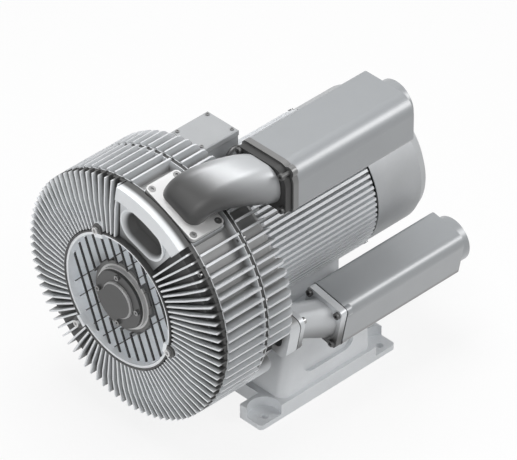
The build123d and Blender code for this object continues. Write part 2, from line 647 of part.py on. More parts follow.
def motor_frame():
    body = tube(BARREL_BORE, BARREL_RADIUS, Y_FRAME, Y_FRAME_END)
    y0, y1 = Y_FRAME + 6, Y_FRAME_END - 3
    fin = plate(((BARREL_RADIUS - 3, y0 - 4), (BARREL_RADIUS + 4, y0 - 4), (FIN_TIP_RADIUS, y0 + 12),
                 (FIN_TIP_RADIUS, y1), (BARREL_RADIUS - 3, y1)), 5.4)
    fins = ring_of(fin, MOTOR_FINS, 180 / MOTOR_FINS, lambda a: not within(a, -122, -58))
    seat_end = BOX_Y + BOX_LENGTH / 2
    seat_mid = (Y_FRAME + seat_end) / 2
    seat_root = AXIS_HEIGHT + BARREL_BORE
    seat = Pos(BOX_X, seat_mid, (BOX_SEAT + seat_root) / 2) * Box(BOX_WIDTH, seat_end - Y_FRAME, BOX_SEAT - seat_root)
    boss = Pos(0, EYE_Y, EYE_SEAT - 14) * Cylinder(15, 28)
    rails = []
    low, high = PEDESTAL_TOP + MOTOR_FOOT_GAP, AXIS_HEIGHT - MOTOR_FOOT_REACH
    for side in (-1, 1):
        rails.append(Pos(side * 82, 30, (low + high) / 2) * Box(36, 180, high - low))
        rails.append(Pos(side * 100, 30, low + MOTOR_FOOT_THICKNESS / 2) * Box(64, 180, MOTOR_FOOT_THICKNESS))
    body = body + fins + seat + boss + rails
    body = body - tube(0.5, BARREL_BORE, Y_FRAME - 1, Y_FRAME_END + 1)
    hole = Pos(0, EYE_Y, EYE_SEAT - 12) * Cylinder(6.1, 26)
    body = body - [rod(4.15, Y_FRAME - 1, -78, *at_angle(FRAME_SCREW_CIRCLE, a)) for a in FRAME_ANGLES]
    body = body - [rod(4.15, 164, Y_FRAME_END + 1, *at_angle(FRAME_SCREW_CIRCLE, a)) for a in FRAME_ANGLES]
    body = body - hole - [Pos(x, y, PEDESTAL_TOP + 6) * Cylinder(6.2, 30) for x, y in MOTOR_BOLTS]
    return body - [Pos(BOX_X + sx * 34, BOX_Y + sy * 40, BOX_SEAT - 6) * Cylinder(2.6, 14) for sx in (-1, 1) for sy in (-1, 1)]


MOTOR_BOLTS = [(sx * 118.0, 30 + sy * 74.0) for sx in (-1, 1) for sy in (-1, 1)]


def motor_foot_screws():
    one = screw(6.0, 26, 10.0, 8.0)
    z_seat = PEDESTAL_TOP + MOTOR_FOOT_GAP + MOTOR_FOOT_THICKNESS + SCREW_SEAT
    return [Pos(x, y, z_seat) * one for x, y in MOTOR_BOLTS]


def stator_core():
    return tube(62.2, BARREL_BORE - 0.1, CORE_START, CORE_END)


def stator_winding():
    front = turned((66, -84), (92, -84), (96, -70), (96, CORE_START - 0.3), (64, CORE_START - 0.3), (64, -74))
    rear = turned((64, CORE_END + 0.3), (96, CORE_END + 0.3), (96, 130), (92, 144), (66, 144), (64, 134))
    return [front, rear]


def rear_end_shield():
    body = turned(
        (27, 180.3), (40.03, 180.3), (40.03, 158), (54, 158), (54, 180.3), (88, 180.3), (88, 172),
        (BARREL_BORE - 0.2, 172), (BARREL_BORE - 0.2, 180.3), (BARREL_RADIUS, 180.3), (BARREL_RADIUS, 192), (27, 192))
    lug = Pos(125.5, 190, 0) * Box(22.4, 10, 22)
    body = body + ring_of(lug, 4, 45)
    hole = Pos(132, 190, 0) * Rot(0, 90, 0) * Cylinder(3.1, 14)
    body = body - [rod(4.15, 179, 193, *at_angle(FRAME_SCREW_CIRCLE, a)) for a in FRAME_ANGLES]
    return body - ring_of(hole, 4, 45)


def fan_cover():
    r, s = HOOD_RADIUS, HOOD_SHEET
    body = turned(
        (r - s, Y_HOOD), (r, Y_HOOD), (r, Y_HOOD_BEVEL), (r - 7, 314), (r - 28, Y_HOOD_END), (0, Y_HOOD_END),
        (0, Y_HOOD_END - s), (r - 29, Y_HOOD_END - s), (r - 8.8, 313), (r - s, Y_HOOD_BEVEL))
    slots = []
    for inner, outer, count, gap in ((26, 42, 6, 14), (50, 66, 8, 10), (74, 98, 10, 8)):
        arc = 360 / count - gap
        slot = turned((inner, Y_HOOD_END - 5), (outer, Y_HOOD_END - 5), (outer, Y_HOOD_END + 2), (inner, Y_HOOD_END + 2), arc=arc)
        slots += [Pos(0, 0, AXIS_HEIGHT) * Rot(0, -k * 360 / count, 0) * Pos(0, 0, -AXIS_HEIGHT) * slot for k in range(count)]
    hole = Pos(138, 190, 0) * Rot(0, 90, 0) * Cylinder(3.2, 10)
    return body - slots - ring_of(hole, 4, 45)


def fan_cover_screws():
    one = screw(3.0, 10, 5.2, 3.0)
    return ring_of(Pos(HOOD_RADIUS + 0.3, 190, 0) * Rot(0, 90, 0) * one, 4, 45)


def terminal_body():
    z0, z1 = BOX_SEAT + 0.3, BOX_LID_TOP - 13.6
    body = Pos(BOX_X, BOX_Y, (z0 + z1) / 2) * Box(BOX_WIDTH - 2, BOX_LENGTH - 2, z1 - z0)
    body = body - Pos(BOX_X, BOX_Y, (z0 + 6 + z1 + 2) / 2) * Box(BOX_WIDTH - 14, BOX_LENGTH - 14, z1 - z0 - 4)
    posts = [Pos(BOX_X + sx * 32, BOX_Y + sy * 38, (z0 + z1) / 2) * Cylinder(6, z1 - z0) for sx in (-1, 1) for sy in (-1, 1)]
    body = body + posts
    body = body - [Pos(BOX_X + sx * 32, BOX_Y + sy * 38, z1 - 8) * Cylinder(2.1, 18) for sx in (-1, 1) for sy in (-1, 1)]
    return body - Pos(BOX_X - 38, BOX_Y, GLAND_Z) * Rot(0, 90, 0) * Cylinder(10.1, 20)


def terminal_gasket():
    z1 = BOX_LID_TOP - 13.4
    outline = Rectangle(BOX_WIDTH - 3, BOX_LENGTH - 3) - Rectangle(BOX_WIDTH - 12, BOX_LENGTH - 12)
    pads = [Pos(sx * 32, sy * 38) * Circle(6) for sx in (-1, 1) for sy in (-1, 1)]
    outline = outline + pads - [Pos(sx * 32, sy * 38) * Circle(2.2) for sx in (-1, 1) for sy in (-1, 1)]
    return Pos(BOX_X, BOX_Y, z1) * extrude(outline, 1.2)


def terminal_lid():
    body = Pos(BOX_X, BOX_Y, BOX_LID_TOP - 6) * Box(BOX_WIDTH, BOX_LENGTH, 12)
    body = chamfer(body.edges().group_by(Axis.Z)[-1], 2)
    holes = [Pos(BOX_X + sx * 32, BOX_Y + sy * 38, BOX_LID_TOP) * Cylinder(2.2, 30) for sx in (-1, 1) for sy in (-1, 1)]
    return body - holes


def terminal_screws():
    one = screw(2.0, 24, 3.8, 2.2)
    return [Pos(BOX_X + sx * 32, BOX_Y + sy * 38, BOX_LID_TOP + 0.3) * one for sx in (-1, 1) for sy in (-1, 1)]


def terminal_block():
    base = Pos(BOX_X, BOX_Y, TERMINAL_Z) * Box(40, 54, 9.2)
    ribs = [Pos(BOX_X, BOX_Y + k * 17, TERMINAL_Z + 7) * Box(38, 2.5, 8) for k in (-1, 0, 1)]
    studs = [Pos(BOX_X + sx * 11, BOX_Y + k, TERMINAL_Z + 11) * Cylinder(2.5, 16)
             for sx in (-1, 1) for k in (-20, -8.5, 8.5, 20)]
    return base + ribs + studs


def cable_gland():
    body = Pos(BOX_X - 41, BOX_Y, GLAND_Z) * Rot(0, 90, 0) * Cylinder(10, 14)
    hexagon = extrude(RegularPolygon(14, 6), 8, both=False)
    body = body + Pos(BOX_X - 48.3, BOX_Y, GLAND_Z) * Rot(0, 90, 0) * hexagon
    body = body + Pos(BOX_X - 55, BOX_Y, GLAND_Z) * Rot(0, 90, 0) * Cylinder(12, 14)
    return body - Pos(BOX_X - 48, BOX_Y, GLAND_Z) * Rot(0, 90, 0) * Cylinder(6.5, 40)


def lifting_eye():
    z0 = EYE_SEAT + 0.3
    ring = Pos(0, EYE_Y, z0 + 27) * Rot(0, 90, 0) * Torus(17.5, 5)
    collar = Pos(0, EYE_Y, z0 + 4) * Cylinder(14, 8)
    shank = Pos(0, EYE_Y, z0 - 7) * Cylinder(6, 16)
    return ring + collar + shank


# Foot

def foot_casting():
    base = Pos(0, 0, FOOT_BASE / 2) * Box(2 * FOOT_HALF_X, 2 * 128, FOOT_BASE)
    ears = [Pos(sx * (FOOT_HALF_X - 28), sy * (FOOT_HALF_Y - 30), FOOT_BASE / 2) * Box(56, 60, FOOT_BASE)
            for sx in (-1, 1) for sy in (-1, 1)]
    lower = Plane.XY.offset(FOOT_BASE - 1) * Pos(0, 4) * RectangleRounded(2 * 190, 2 * 118, 22)
    upper = Plane.XY.offset(PEDESTAL_TOP) * Pos(0, 22) * RectangleRounded(2 * 178, 2 * 104, 22)
    pedestal = loft([lower, upper])
    body = base + ears + pedestal
    body = fillet(body.edges().filter_by(Axis.Z).filter_by(lambda e: abs(abs(e.center().X) - FOOT_HALF_X) < 0.1
                  and abs(abs(e.center().Y) - FOOT_HALF_Y) < 0.1), 8)
    room = Pos(0, 21, -1) * extrude(RectangleRounded(2 * 166, 2 * 89, 8), PEDESTAL_TOP - 11)
    body = body - room
    wells = [Pos(sx * BOLT_X, sy * BOLT_Y, FOOT_PAD + 30) * Cylinder(32, 60) for sx in (-1, 1) for sy in (-1, 1)]
    body = body - wells
    window = PEDESTAL_TOP - FOOT_BASE - 46
    outline = RectangleRounded(130, window, min(22, 0.38 * window))
    for side in (-1, 1):
        plane = Plane(origin=(side * 188, 10, PEDESTAL_TOP - window / 2 - 19), x_dir=(0, side, 0), z_dir=(side, 0, 0.115))
        body = body - plane * Pos(0, 0, -12) * extrude(outline, 24)
    body = body - [Pos(sx * BOLT_X, sy * BOLT_Y, 10) * Cylinder(BOLT_HOLE, 60) for sx in (-1, 1) for sy in (-1, 1)]
    return body - [Pos(x, y, PEDESTAL_TOP - 6) * Cylinder(6.2, 30) for x, y in MOTOR_BOLTS]


def shaft_nut():
    body = Pos(0, -337, AXIS_HEIGHT) * Rot(90, 0, 0) * extrude(RegularPolygon(31, 6), 4.7, both=True)
    return body - rod(FRONT_JOURNAL, -345, -330)


def shaft_seal(y0, y1, sleeve):
    outer = 30.97
    return turned((sleeve + 0.05, y0 + 2), (outer, y0), (outer, y1), (sleeve + 3, y1), (sleeve + 3, y0 + 4), (sleeve + 0.05, y0 + 4))


PARTS = {
    "front_cover": front_cover,
    "hub_insert": hub_insert,
    "bearing_cap": bearing_cap,
    "cap_screws": cap_screws,
    "lug_screws": lug_screws,
    "rim_screws": rim_screws,
    "centre_housing": centre_housing,
    "housing_seal_rings": seal_rings,
    "rear_housing": rear_housing,
    "port_gasket": port_gasket,
    "upper_elbow": upper_elbow,
    "elbow_screws": elbow_screws,
    "upper_silencer_gasket": upper_gasket,
    "upper_silencer": upper_silencer,
    "upper_foam_liner": lambda: foam_liner(UPPER_CENTRE, UPPER_SIZE, 36, 10, 0, 38),
    "lower_port_gasket": lower_port_gasket,
    "lower_elbow": lower_elbow,
    "lower_silencer_gasket": lower_gasket,
    "lower_silencer": lower_silencer,
    "lower_foam_liner": lambda: foam_liner(LOWER_CENTRE, LOWER_SIZE, 22, 8, LOWER_TURN, 36),
    "silencer_screws": silencer_screws,
    "first_impeller": lambda: impeller(Y_FIRST),
    "second_impeller": lambda: impeller(Y_SECOND),
    "impeller_keys": shaft_keys,
    "rotor_shaft": rotor_shaft,
    "shaft_nut": shaft_nut,
    "front_sleeve": lambda: tube(SHAFT_RADIUS + FIT, 26, -313.7, Y_FIRST - 0.2),
    "impeller_spacer": lambda: tube(SHAFT_RADIUS + FIT, 30, Y_FIRST + IMPELLER_WIDTH + 0.2, Y_SECOND - 0.2),
    "rear_sleeve": lambda: tube(SHAFT_RADIUS + FIT, 26, Y_SECOND + IMPELLER_WIDTH + 0.2, -140.2),
    "front_shaft_seal": lambda: shaft_seal(-309, -301, 26),
    "rear_shaft_seal": lambda: shaft_seal(-155, -147, 26),
    "front_bearing_outer": lambda: bearing(-332, 18, FRONT_JOURNAL, 40, "outer"),
    "front_bearing_inner": lambda: bearing(-332, 18, FRONT_JOURNAL, 40, "inner"),
    "front_bearing_balls": lambda: bearing(-332, 18, FRONT_JOURNAL, 40, "balls"),
    "drive_bearing_outer": lambda: bearing(-128, 25, DRIVE_JOURNAL, 50, "outer"),
    "drive_bearing_inner": lambda: bearing(-128, 25, DRIVE_JOURNAL, 50, "inner"),
    "drive_bearing_balls": lambda: bearing(-128, 25, DRIVE_JOURNAL, 50, "balls"),
    "fan_bearing_outer": lambda: bearing(162, 18, FRONT_JOURNAL, 40, "outer"),
    "fan_bearing_inner": lambda: bearing(162, 18, FRONT_JOURNAL, 40, "inner"),
    "fan_bearing_balls": lambda: bearing(162, 18, FRONT_JOURNAL, 40, "balls"),
    "rotor_core": rotor_core,
    "cooling_fan": cooling_fan,
    "drive_end_shield": drive_end_shield,
    "shield_screws": shield_screws,
    "frame_screws": frame_screws,
    "motor_frame": motor_frame,
    "stator_core": stator_core,
    "stator_winding": stator_winding,
    "rear_end_shield": rear_end_shield,
    "fan_cover": fan_cover,
    "fan_cover_screws": fan_cover_screws,
    "terminal_box_body": terminal_body,
    "terminal_box_gasket": terminal_gasket,
    "terminal_box_lid": terminal_lid,
    "terminal_box_screws": terminal_screws,
    "terminal_block": terminal_block,
    "cable_gland": cable_gland,
    "lifting_eye": lifting_eye,
    "foot_casting": foot_casting,
    "motor_foot_screws": motor_foot_screws,
}


os.makedirs("parts", exist_ok=True)
for name, build in PARTS.items():
    shape = build()
    if isinstance(shape, (list, tuple, ShapeList)):
        solids = [s for item in shape for s in item.solids()]
    else:
        solids = list(shape.solids())
    whole = solids[0] if len(solids) == 1 else Compound(children=solids)
    whole.label = name
    export_step(whole, f"parts/{name}.step")
    print(name, len(solids), flush=True)
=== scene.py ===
import bpy
import bmesh
import json
import math
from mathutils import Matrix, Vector

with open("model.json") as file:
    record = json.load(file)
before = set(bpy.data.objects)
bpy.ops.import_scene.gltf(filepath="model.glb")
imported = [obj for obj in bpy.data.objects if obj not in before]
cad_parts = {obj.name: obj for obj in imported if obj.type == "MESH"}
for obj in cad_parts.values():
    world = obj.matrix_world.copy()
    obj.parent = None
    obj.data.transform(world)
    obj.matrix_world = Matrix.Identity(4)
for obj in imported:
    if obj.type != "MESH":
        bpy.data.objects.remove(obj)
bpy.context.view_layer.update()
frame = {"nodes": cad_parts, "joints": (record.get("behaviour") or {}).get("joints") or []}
nodes = frame["nodes"]
rotorJoint = next(joint for joint in frame["joints"] if joint["name"] == "rotor_spin")
axisHeight = rotorJoint["pos_m"][2]  # the blower axis runs along y at this height
print("frame loaded")


# Helpers for node trees

def newGroup(name, inputs, outputs):
    group = bpy.data.node_groups.new(name, "ShaderNodeTree")
    for label, kind, value in inputs:
        socket = group.interface.new_socket(label, in_out="INPUT", socket_type=kind)
        socket.default_value = value
    for label, kind in outputs:
        group.interface.new_socket(label, in_out="OUTPUT", socket_type=kind)
    return group, group.nodes.new("NodeGroupInput"), group.nodes.new("NodeGroupOutput")


def fillSockets(node, values):
    for key, value in values.items():
        node.inputs[key].default_value = value


def addNode(tree, kind, sockets=None, **settings):
    # The settings come first, because some of them decide which sockets there are.
    node = tree.nodes.new(kind)
    for key, value in settings.items():
        setattr(node, key, value)
    fillSockets(node, sockets or {})
    return node


def grey(value, cool=0.0):
    # Cool is the share by which red falls and blue rises.
    return (value - cool * value, value, value + cool * value, 1.0)


def objectPlace(tree):
    return addNode(tree, "ShaderNodeTexCoord").outputs["Object"]


def axisPlace(tree, place):
    # The same place, counted from the blower axis.
    centre = addNode(tree, "ShaderNodeMapping", {"Location": (0, 0, -axisHeight)})
    tree.links.new(place, centre.inputs["Vector"])
    return centre.outputs["Vector"]


def axisDistance(tree, place):
    flat = addNode(tree, "ShaderNodeVectorMath", {1: (1, 0, 1)}, operation="MULTIPLY")
    distance = addNode(tree, "ShaderNodeVectorMath", operation="LENGTH")
    tree.links.new(axisPlace(tree, place), flat.inputs[0])
    tree.links.new(flat.outputs["Vector"], distance.inputs[0])
    return distance.outputs["Value"]


# Shared surface effects

def makeCastSkin():
    # Blasted casting skin: fine sand grain, soft cloudy tone and small pits.
    skin = {"cloudScale": 14.0, "cloudShare": 0.65, "grainShare": 0.35,
            "pitScale": 260.0, "pitReach": 0.12, "pitDepth": 0.5}
    group, given, out = newGroup(
        "castSkin",
        [("Tone", "NodeSocketColor", grey(0.6)), ("Shade", "NodeSocketColor", grey(0.5)),
         ("Grain Size", "NodeSocketFloat", 900.0),
         ("Rough Low", "NodeSocketFloat", 0.4), ("Rough High", "NodeSocketFloat", 0.55)],
        [("Color", "NodeSocketColor"), ("Roughness", "NodeSocketFloat"), ("Height", "NodeSocketFloat")])
    links = group.links
    place = objectPlace(group)
    grain = addNode(group, "ShaderNodeTexNoise", {"Detail": 3.0, "Roughness": 0.6})
    cloud = addNode(group, "ShaderNodeTexNoise",
                    {"Scale": skin["cloudScale"], "Detail": 4.0, "Roughness": 0.55})
    pits = addNode(group, "ShaderNodeTexVoronoi", {"Scale": skin["pitScale"]})
    for pattern in (grain, cloud, pits):
        links.new(place, pattern.inputs["Vector"])
    links.new(given.outputs["Grain Size"], grain.inputs["Scale"])

    spread = addNode(group, "ShaderNodeMapRange", {"From Min": 0.3, "From Max": 0.7})
    links.new(cloud.outputs["Fac"], spread.inputs["Value"])
    speck = addNode(group, "ShaderNodeMapRange", {"From Min": 0.25, "From Max": 0.75})
    links.new(grain.outputs["Fac"], speck.inputs["Value"])
    clouds = addNode(group, "ShaderNodeMath", {1: skin["cloudShare"]}, operation="MULTIPLY")
    links.new(spread.outputs["Result"], clouds.inputs[0])
    blend = addNode(group, "ShaderNodeMath", {1: skin["grainShare"]}, operation="MULTIPLY_ADD")
    links.new(speck.outputs["Result"], blend.inputs[0])
    links.new(clouds.outputs["Value"], blend.inputs[2])

    mix = addNode(group, "ShaderNodeMix", data_type="RGBA")
    links.new(blend.outputs["Value"], mix.inputs["Factor"])
    links.new(given.outputs["Shade"], mix.inputs["A"])
    links.new(given.outputs["Tone"], mix.inputs["B"])
    rough = addNode(group, "ShaderNodeMapRange")
    links.new(blend.outputs["Value"], rough.inputs["Value"])
    links.new(given.outputs["Rough High"], rough.inputs["To Min"])
    links.new(given.outputs["Rough Low"], rough.inputs["To Max"])

    sink = addNode(group, "ShaderNodeMapRange",
                   {"From Max": skin["pitReach"], "To Min": -skin["pitDepth"], "To Max": 0.0})
    links.new(pits.outputs["Distance"], sink.inputs["Value"])
    height = addNode(group, "ShaderNodeMath", operation="ADD")
    links.new(grain.outputs["Fac"], height.inputs[0])
    links.new(sink.outputs["Result"], height.inputs[1])
    links.new(mix.outputs["Result"], out.inputs["Color"])
    links.new(rough.outputs["Result"], out.inputs["Roughness"])
    links.new(height.outputs["Value"], out.inputs["Height"])
    return group


def makeTurningMarks():
    # Fine rings left by a lathe tool round the blower axis.
    marks = {"wobble": 0.4, "stainScale": 60.0, "stain": 0.35, "roughLow": 0.24, "roughHigh": 0.40}
    group, given, out = newGroup(
        "turningMarks",
        [("Tone", "NodeSocketColor", grey(0.6)), ("Pitch", "NodeSocketFloat", 420.0)],
        [("Color", "NodeSocketColor"), ("Roughness", "NodeSocketFloat"), ("Height", "NodeSocketFloat")])
    links = group.links
    place = objectPlace(group)
    rings = addNode(group, "ShaderNodeTexWave", {"Distortion": marks["wobble"], "Detail": 2.0},
                    wave_type="RINGS", rings_direction="Y")
    stain = addNode(group, "ShaderNodeTexNoise", {"Scale": marks["stainScale"], "Detail": 3.0})
    links.new(axisPlace(group, place), rings.inputs["Vector"])
    links.new(place, stain.inputs["Vector"])
    links.new(given.outputs["Pitch"], rings.inputs["Scale"])
    darker = addNode(group, "ShaderNodeMix", {"Factor": marks["stain"]},
                     data_type="RGBA", blend_type="MULTIPLY")
    links.new(given.outputs["Tone"], darker.inputs["A"])
    links.new(stain.outputs["Fac"], darker.inputs["B"])
    rough = addNode(group, "ShaderNodeMapRange",
                    {"To Min": marks["roughLow"], "To Max": marks["roughHigh"]})
    links.new(stain.outputs["Fac"], rough.inputs["Value"])
    links.new(darker.outputs["Result"], out.inputs["Color"])
    links.new(rough.outputs["Result"], out.inputs["Roughness"])
    links.new(rings.outputs["Fac"], out.inputs["Height"])
    return group


def makePaintedLightShadeAndTone():
    # Painted shade between fins, in grooves and on undersides, painted highlights on rims and a flange,
    # and the darker tone of the boss.
    # How far out a place lies adds up from four directions, each with its own share: Radial from
    # the blower axis, Front towards the cover, Upward, and Across towards the silencers.
    group, given, out = newGroup(
        "paintedLightShadeAndTone",
        [("Color", "NodeSocketColor", grey(0.6)), ("Deep Color", "NodeSocketColor", grey(0.1)),
         ("Radial", "NodeSocketFloat", 1.0), ("Front", "NodeSocketFloat", 0.0),
         ("Upward", "NodeSocketFloat", 0.0), ("Across", "NodeSocketFloat", 0.0),
         ("Deep At", "NodeSocketFloat", 0.0), ("Clear At", "NodeSocketFloat", 1.0)],
        [("Color", "NodeSocketColor")])
    links = group.links
    place = objectPlace(group)
    radial = axisDistance(group, place)
    parts = addNode(group, "ShaderNodeSeparateXYZ")
    links.new(place, parts.inputs["Vector"])
    forward = addNode(group, "ShaderNodeMath", {1: -1.0}, operation="MULTIPLY")
    links.new(parts.outputs["Y"], forward.inputs[0])
    directions = {"Radial": radial, "Front": forward.outputs["Value"],
                  "Upward": parts.outputs["Z"], "Across": parts.outputs["X"]}
    total = None
    for label, source in directions.items():
        term = addNode(group, "ShaderNodeMath", {2: 0.0}, operation="MULTIPLY_ADD")
        links.new(source, term.inputs[0])
        links.new(given.outputs[label], term.inputs[1])
        if total:
            links.new(total, term.inputs[2])
        total = term.outputs["Value"]
    ramp = addNode(group, "ShaderNodeMapRange", interpolation_type="SMOOTHSTEP")
    links.new(total, ramp.inputs["Value"])
    links.new(given.outputs["Deep At"], ramp.inputs["From Min"])
    links.new(given.outputs["Clear At"], ramp.inputs["From Max"])
    mix = addNode(group, "ShaderNodeMix", data_type="RGBA")
    links.new(ramp.outputs["Result"], mix.inputs["Factor"])
    links.new(given.outputs["Deep Color"], mix.inputs["A"])
    links.new(given.outputs["Color"], mix.inputs["B"])
    links.new(mix.outputs["Result"], out.inputs["Color"])
    return group


def makeSeamAndPaintedShade():
    # Dark band across y out to a radius round the blower axis: a split joint of the casing, the dark necks
    # by the silencers, and painted shade on the slat fronts.
    group, given, out = newGroup(
        "seamAndPaintedShade",
        [("Color", "NodeSocketColor", grey(0.6)), ("Seam Color", "NodeSocketColor", grey(0.05)),
         ("Seam Y", "NodeSocketFloat", 0.0), ("Half Width", "NodeSocketFloat", 0.006),
         ("Reach", "NodeSocketFloat", 0.2465)],
        [("Color", "NodeSocketColor")])
    links = group.links
    place = objectPlace(group)
    radial = axisDistance(group, place)
    parts = addNode(group, "ShaderNodeSeparateXYZ")
    links.new(place, parts.inputs["Vector"])
    offset = addNode(group, "ShaderNodeMath", operation="SUBTRACT")
    distance = addNode(group, "ShaderNodeMath", operation="ABSOLUTE")
    near = addNode(group, "ShaderNodeMath", operation="LESS_THAN")
    inside = addNode(group, "ShaderNodeMath", operation="LESS_THAN")
    both = addNode(group, "ShaderNodeMath", operation="MULTIPLY")
    links.new(parts.outputs["Y"], offset.inputs[0])
    links.new(given.outputs["Seam Y"], offset.inputs[1])
    links.new(offset.outputs["Value"], distance.inputs[0])
    links.new(distance.outputs["Value"], near.inputs[0])
    links.new(given.outputs["Half Width"], near.inputs[1])
    links.new(radial, inside.inputs[0])
    links.new(given.outputs["Reach"], inside.inputs[1])
    links.new(near.outputs["Value"], both.inputs[0])
    links.new(inside.outputs["Value"], both.inputs[1])
    mix = addNode(group, "ShaderNodeMix", data_type="RGBA")
    links.new(both.outputs["Value"], mix.inputs["Factor"])
    links.new(given.outputs["Color"], mix.inputs["A"])
    links.new(given.outputs["Seam Color"], mix.inputs["B"])
    links.new(mix.outputs["Result"], out.inputs["Color"])
    return group


castSkin = makeCastSkin()
turningMarks = makeTurningMarks()
paintedLightShadeAndTone = makePaintedLightShadeAndTone()
seamAndPaintedShade = makeSeamAndPaintedShade()
print("surface effects made")


# Materials. In each look, metal, coat, bump and depth go to the shader and its relief, the rest to the
# surface effect. Lengths are in metres, and greys run from 0 to 1.

def groupMaterial(name, group, given, look, shades=()):
    material = bpy.data.materials.new(name)
    material.use_nodes = True
    tree = material.node_tree
    shader = tree.nodes["Principled BSDF"]
    shader.inputs["Metallic"].default_value = look["metal"]
    fillSockets(shader, look.get("coat", {}))
    effect = addNode(tree, "ShaderNodeGroup", given, node_tree=group)
    relief = addNode(tree, "ShaderNodeBump", {"Strength": look["bump"], "Distance": look["depth"]})
    colour = effect.outputs["Color"]
    for shadeGroup, values in shades:
        shade = addNode(tree, "ShaderNodeGroup", values, node_tree=shadeGroup)
        tree.links.new(colour, shade.inputs["Color"])
        colour = shade.outputs["Color"]
    tree.links.new(colour, shader.inputs["Base Color"])
    tree.links.new(effect.outputs["Roughness"], shader.inputs["Roughness"])
    tree.links.new(effect.outputs["Height"], relief.inputs["Height"])
    tree.links.new(relief.outputs["Normal"], shader.inputs["Normal"])


def skinMaterial(name, look, shades=()):
    cool = look.get("cool", 0.0)
    roughLow, roughHigh = look["rough"]
    given = {"Tone": grey(look["tone"], cool), "Shade": grey(look["shade"], cool),
             "Grain Size": look["grain"], "Rough Low": roughLow, "Rough High": roughHigh}
    groupMaterial(name, castSkin, given, look, shades)


def turnedMaterial(name, look):
    groupMaterial(name, turningMarks, {"Tone": grey(look["tone"]), "Pitch": look["pitch"]}, look)


def paintLightShadeAndTone(look):
    # The deep tone holds up to deepAt, and from clearAt on the metal keeps its own.
    given = {"Deep Color": grey(look["deep"]), "Deep At": look["deepAt"], "Clear At": look["clearAt"]}
    for label in ("Radial", "Front", "Upward", "Across"):
        given[label] = look.get(label.lower(), 0.0)
    return paintedLightShadeAndTone, given


def darkBand(look):
    return seamAndPaintedShade, {"Seam Y": look["y"], "Half Width": look["halfWidth"], "Reach": look["reach"],
                       "Seam Color": grey(look["tone"])}


# Cast aluminium. The other cast parts below are copies of it, each in a lighter or darker tone that is the
# metal's grey together with painted light and shade.
castLook = {"tone": 0.50, "shade": 0.43, "cool": 0.025, "grain": 900.0, "rough": (0.42, 0.55),
            "metal": 0.15, "bump": 0.5, "depth": 0.0003}
skinMaterial("castAluminium", castLook)

# Front cover and the two finned bands behind it
firstSeam = {"y": -0.3088, "halfWidth": 0.0036, "reach": 0.2465, "tone": 0.05}
secondSeam = {**firstSeam, "y": -0.2071}
coverLook = {**castLook, "tone": 0.90, "shade": 0.80, "rough": (0.40, 0.52)}
# Painted shade between the front fins, deepening inwards, and inside the pocket's rim.
coverGapShade = {"deep": 0.06, "deepAt": 0.353, "clearAt": 0.364, "radial": 0.131, "front": 1.0}
pocketRimShade = {"deep": 0.07, "deepAt": 0.1415, "clearAt": 0.1425, "radial": 1.0}
skinMaterial("coverAluminium", coverLook, [paintLightShadeAndTone(coverGapShade), paintLightShadeAndTone(pocketRimShade), darkBand(firstSeam)])
bandLook = {**castLook, "tone": 0.76, "shade": 0.66}
# Painted shade deep between the band fins.
bandGapShade = {"deep": 0.36, "deepAt": 0.228, "clearAt": 0.243, "radial": 1.0}
skinMaterial("bandAluminium", bandLook, [paintLightShadeAndTone(bandGapShade), darkBand(firstSeam), darkBand(secondSeam)])

# Foot, terminal box and motor
# Painted light: the foot's tone is raised for its lit pedestal.
footLook = {**castLook, "tone": 0.88, "shade": 0.78, "grain": 800.0, "metal": 0.10}
skinMaterial("footAluminium", footLook)
boxLook = {**castLook, "tone": 0.46, "shade": 0.40, "grain": 1300.0, "rough": (0.40, 0.50), "metal": 0.10}
skinMaterial("boxAluminium", boxLook)
motorLook = {**castLook, "tone": 0.86, "shade": 0.76}
motorGapShade = {"deep": 0.55, "deepAt": 0.122, "clearAt": 0.132, "radial": 1.0}
skinMaterial("motorAluminium", motorLook, [paintLightShadeAndTone(motorGapShade)])

# Hub insert: painted shade on the slat fronts, the boss from outside inwards with a painted highlight
# ring, and painted shade on the lugs beyond the pocket's wall
hubLook = {**castLook, "tone": 0.96, "shade": 0.90, "grain": 1100.0, "rough": (0.38, 0.50)}
slatFrontShade = {"y": -0.3358, "halfWidth": 0.0024, "reach": 0.1285, "tone": 0.04}
bossStep = {"deep": 0.14, "deepAt": 0.0745, "clearAt": 0.0755, "radial": 1.0}
bossEdgeHighlight = {"deep": 0.60, "deepAt": 0.0655, "clearAt": 0.0665, "radial": 1.0}
bossFace = {"deep": 0.14, "deepAt": 0.0595, "clearAt": 0.0600, "radial": 1.0}
lugEndShade = {"deep": 0.09, "deepAt": -0.1385, "clearAt": -0.1375, "radial": -1.0}
skinMaterial("hubAluminium", hubLook,
             [darkBand(slatFrontShade), paintLightShadeAndTone(bossStep), paintLightShadeAndTone(bossEdgeHighlight), paintLightShadeAndTone(bossFace), paintLightShadeAndTone(lugEndShade)])
capLook = {"tone": 0.06, "shade": 0.04, "grain": 1300.0, "rough": (0.30, 0.42),
           "metal": 0.0, "bump": 0.3, "depth": 0.0002,
           "coat": {"Coat Weight": 0.2, "Coat Roughness": 0.2, "Coat IOR": 1.5}}
# Painted highlight: a pale ring round the cap's edge, with the cap's dark tone again inside it.
capEdgeHighlight = {"deep": 0.40, "deepAt": 0.0373, "clearAt": 0.0375, "radial": 1.0}
capDisc = {"deep": 0.05, "deepAt": 0.0343, "clearAt": 0.0346, "radial": 1.0}
skinMaterial("darkCap", capLook, [paintLightShadeAndTone(capEdgeHighlight), paintLightShadeAndTone(capDisc)])

# Elbows: smoother than the casing, with painted shade underneath
elbowLook = {**castLook, "tone": 0.50, "shade": 0.44, "grain": 1500.0, "rough": (0.36, 0.46),
             "metal": 0.3, "bump": 0.2}
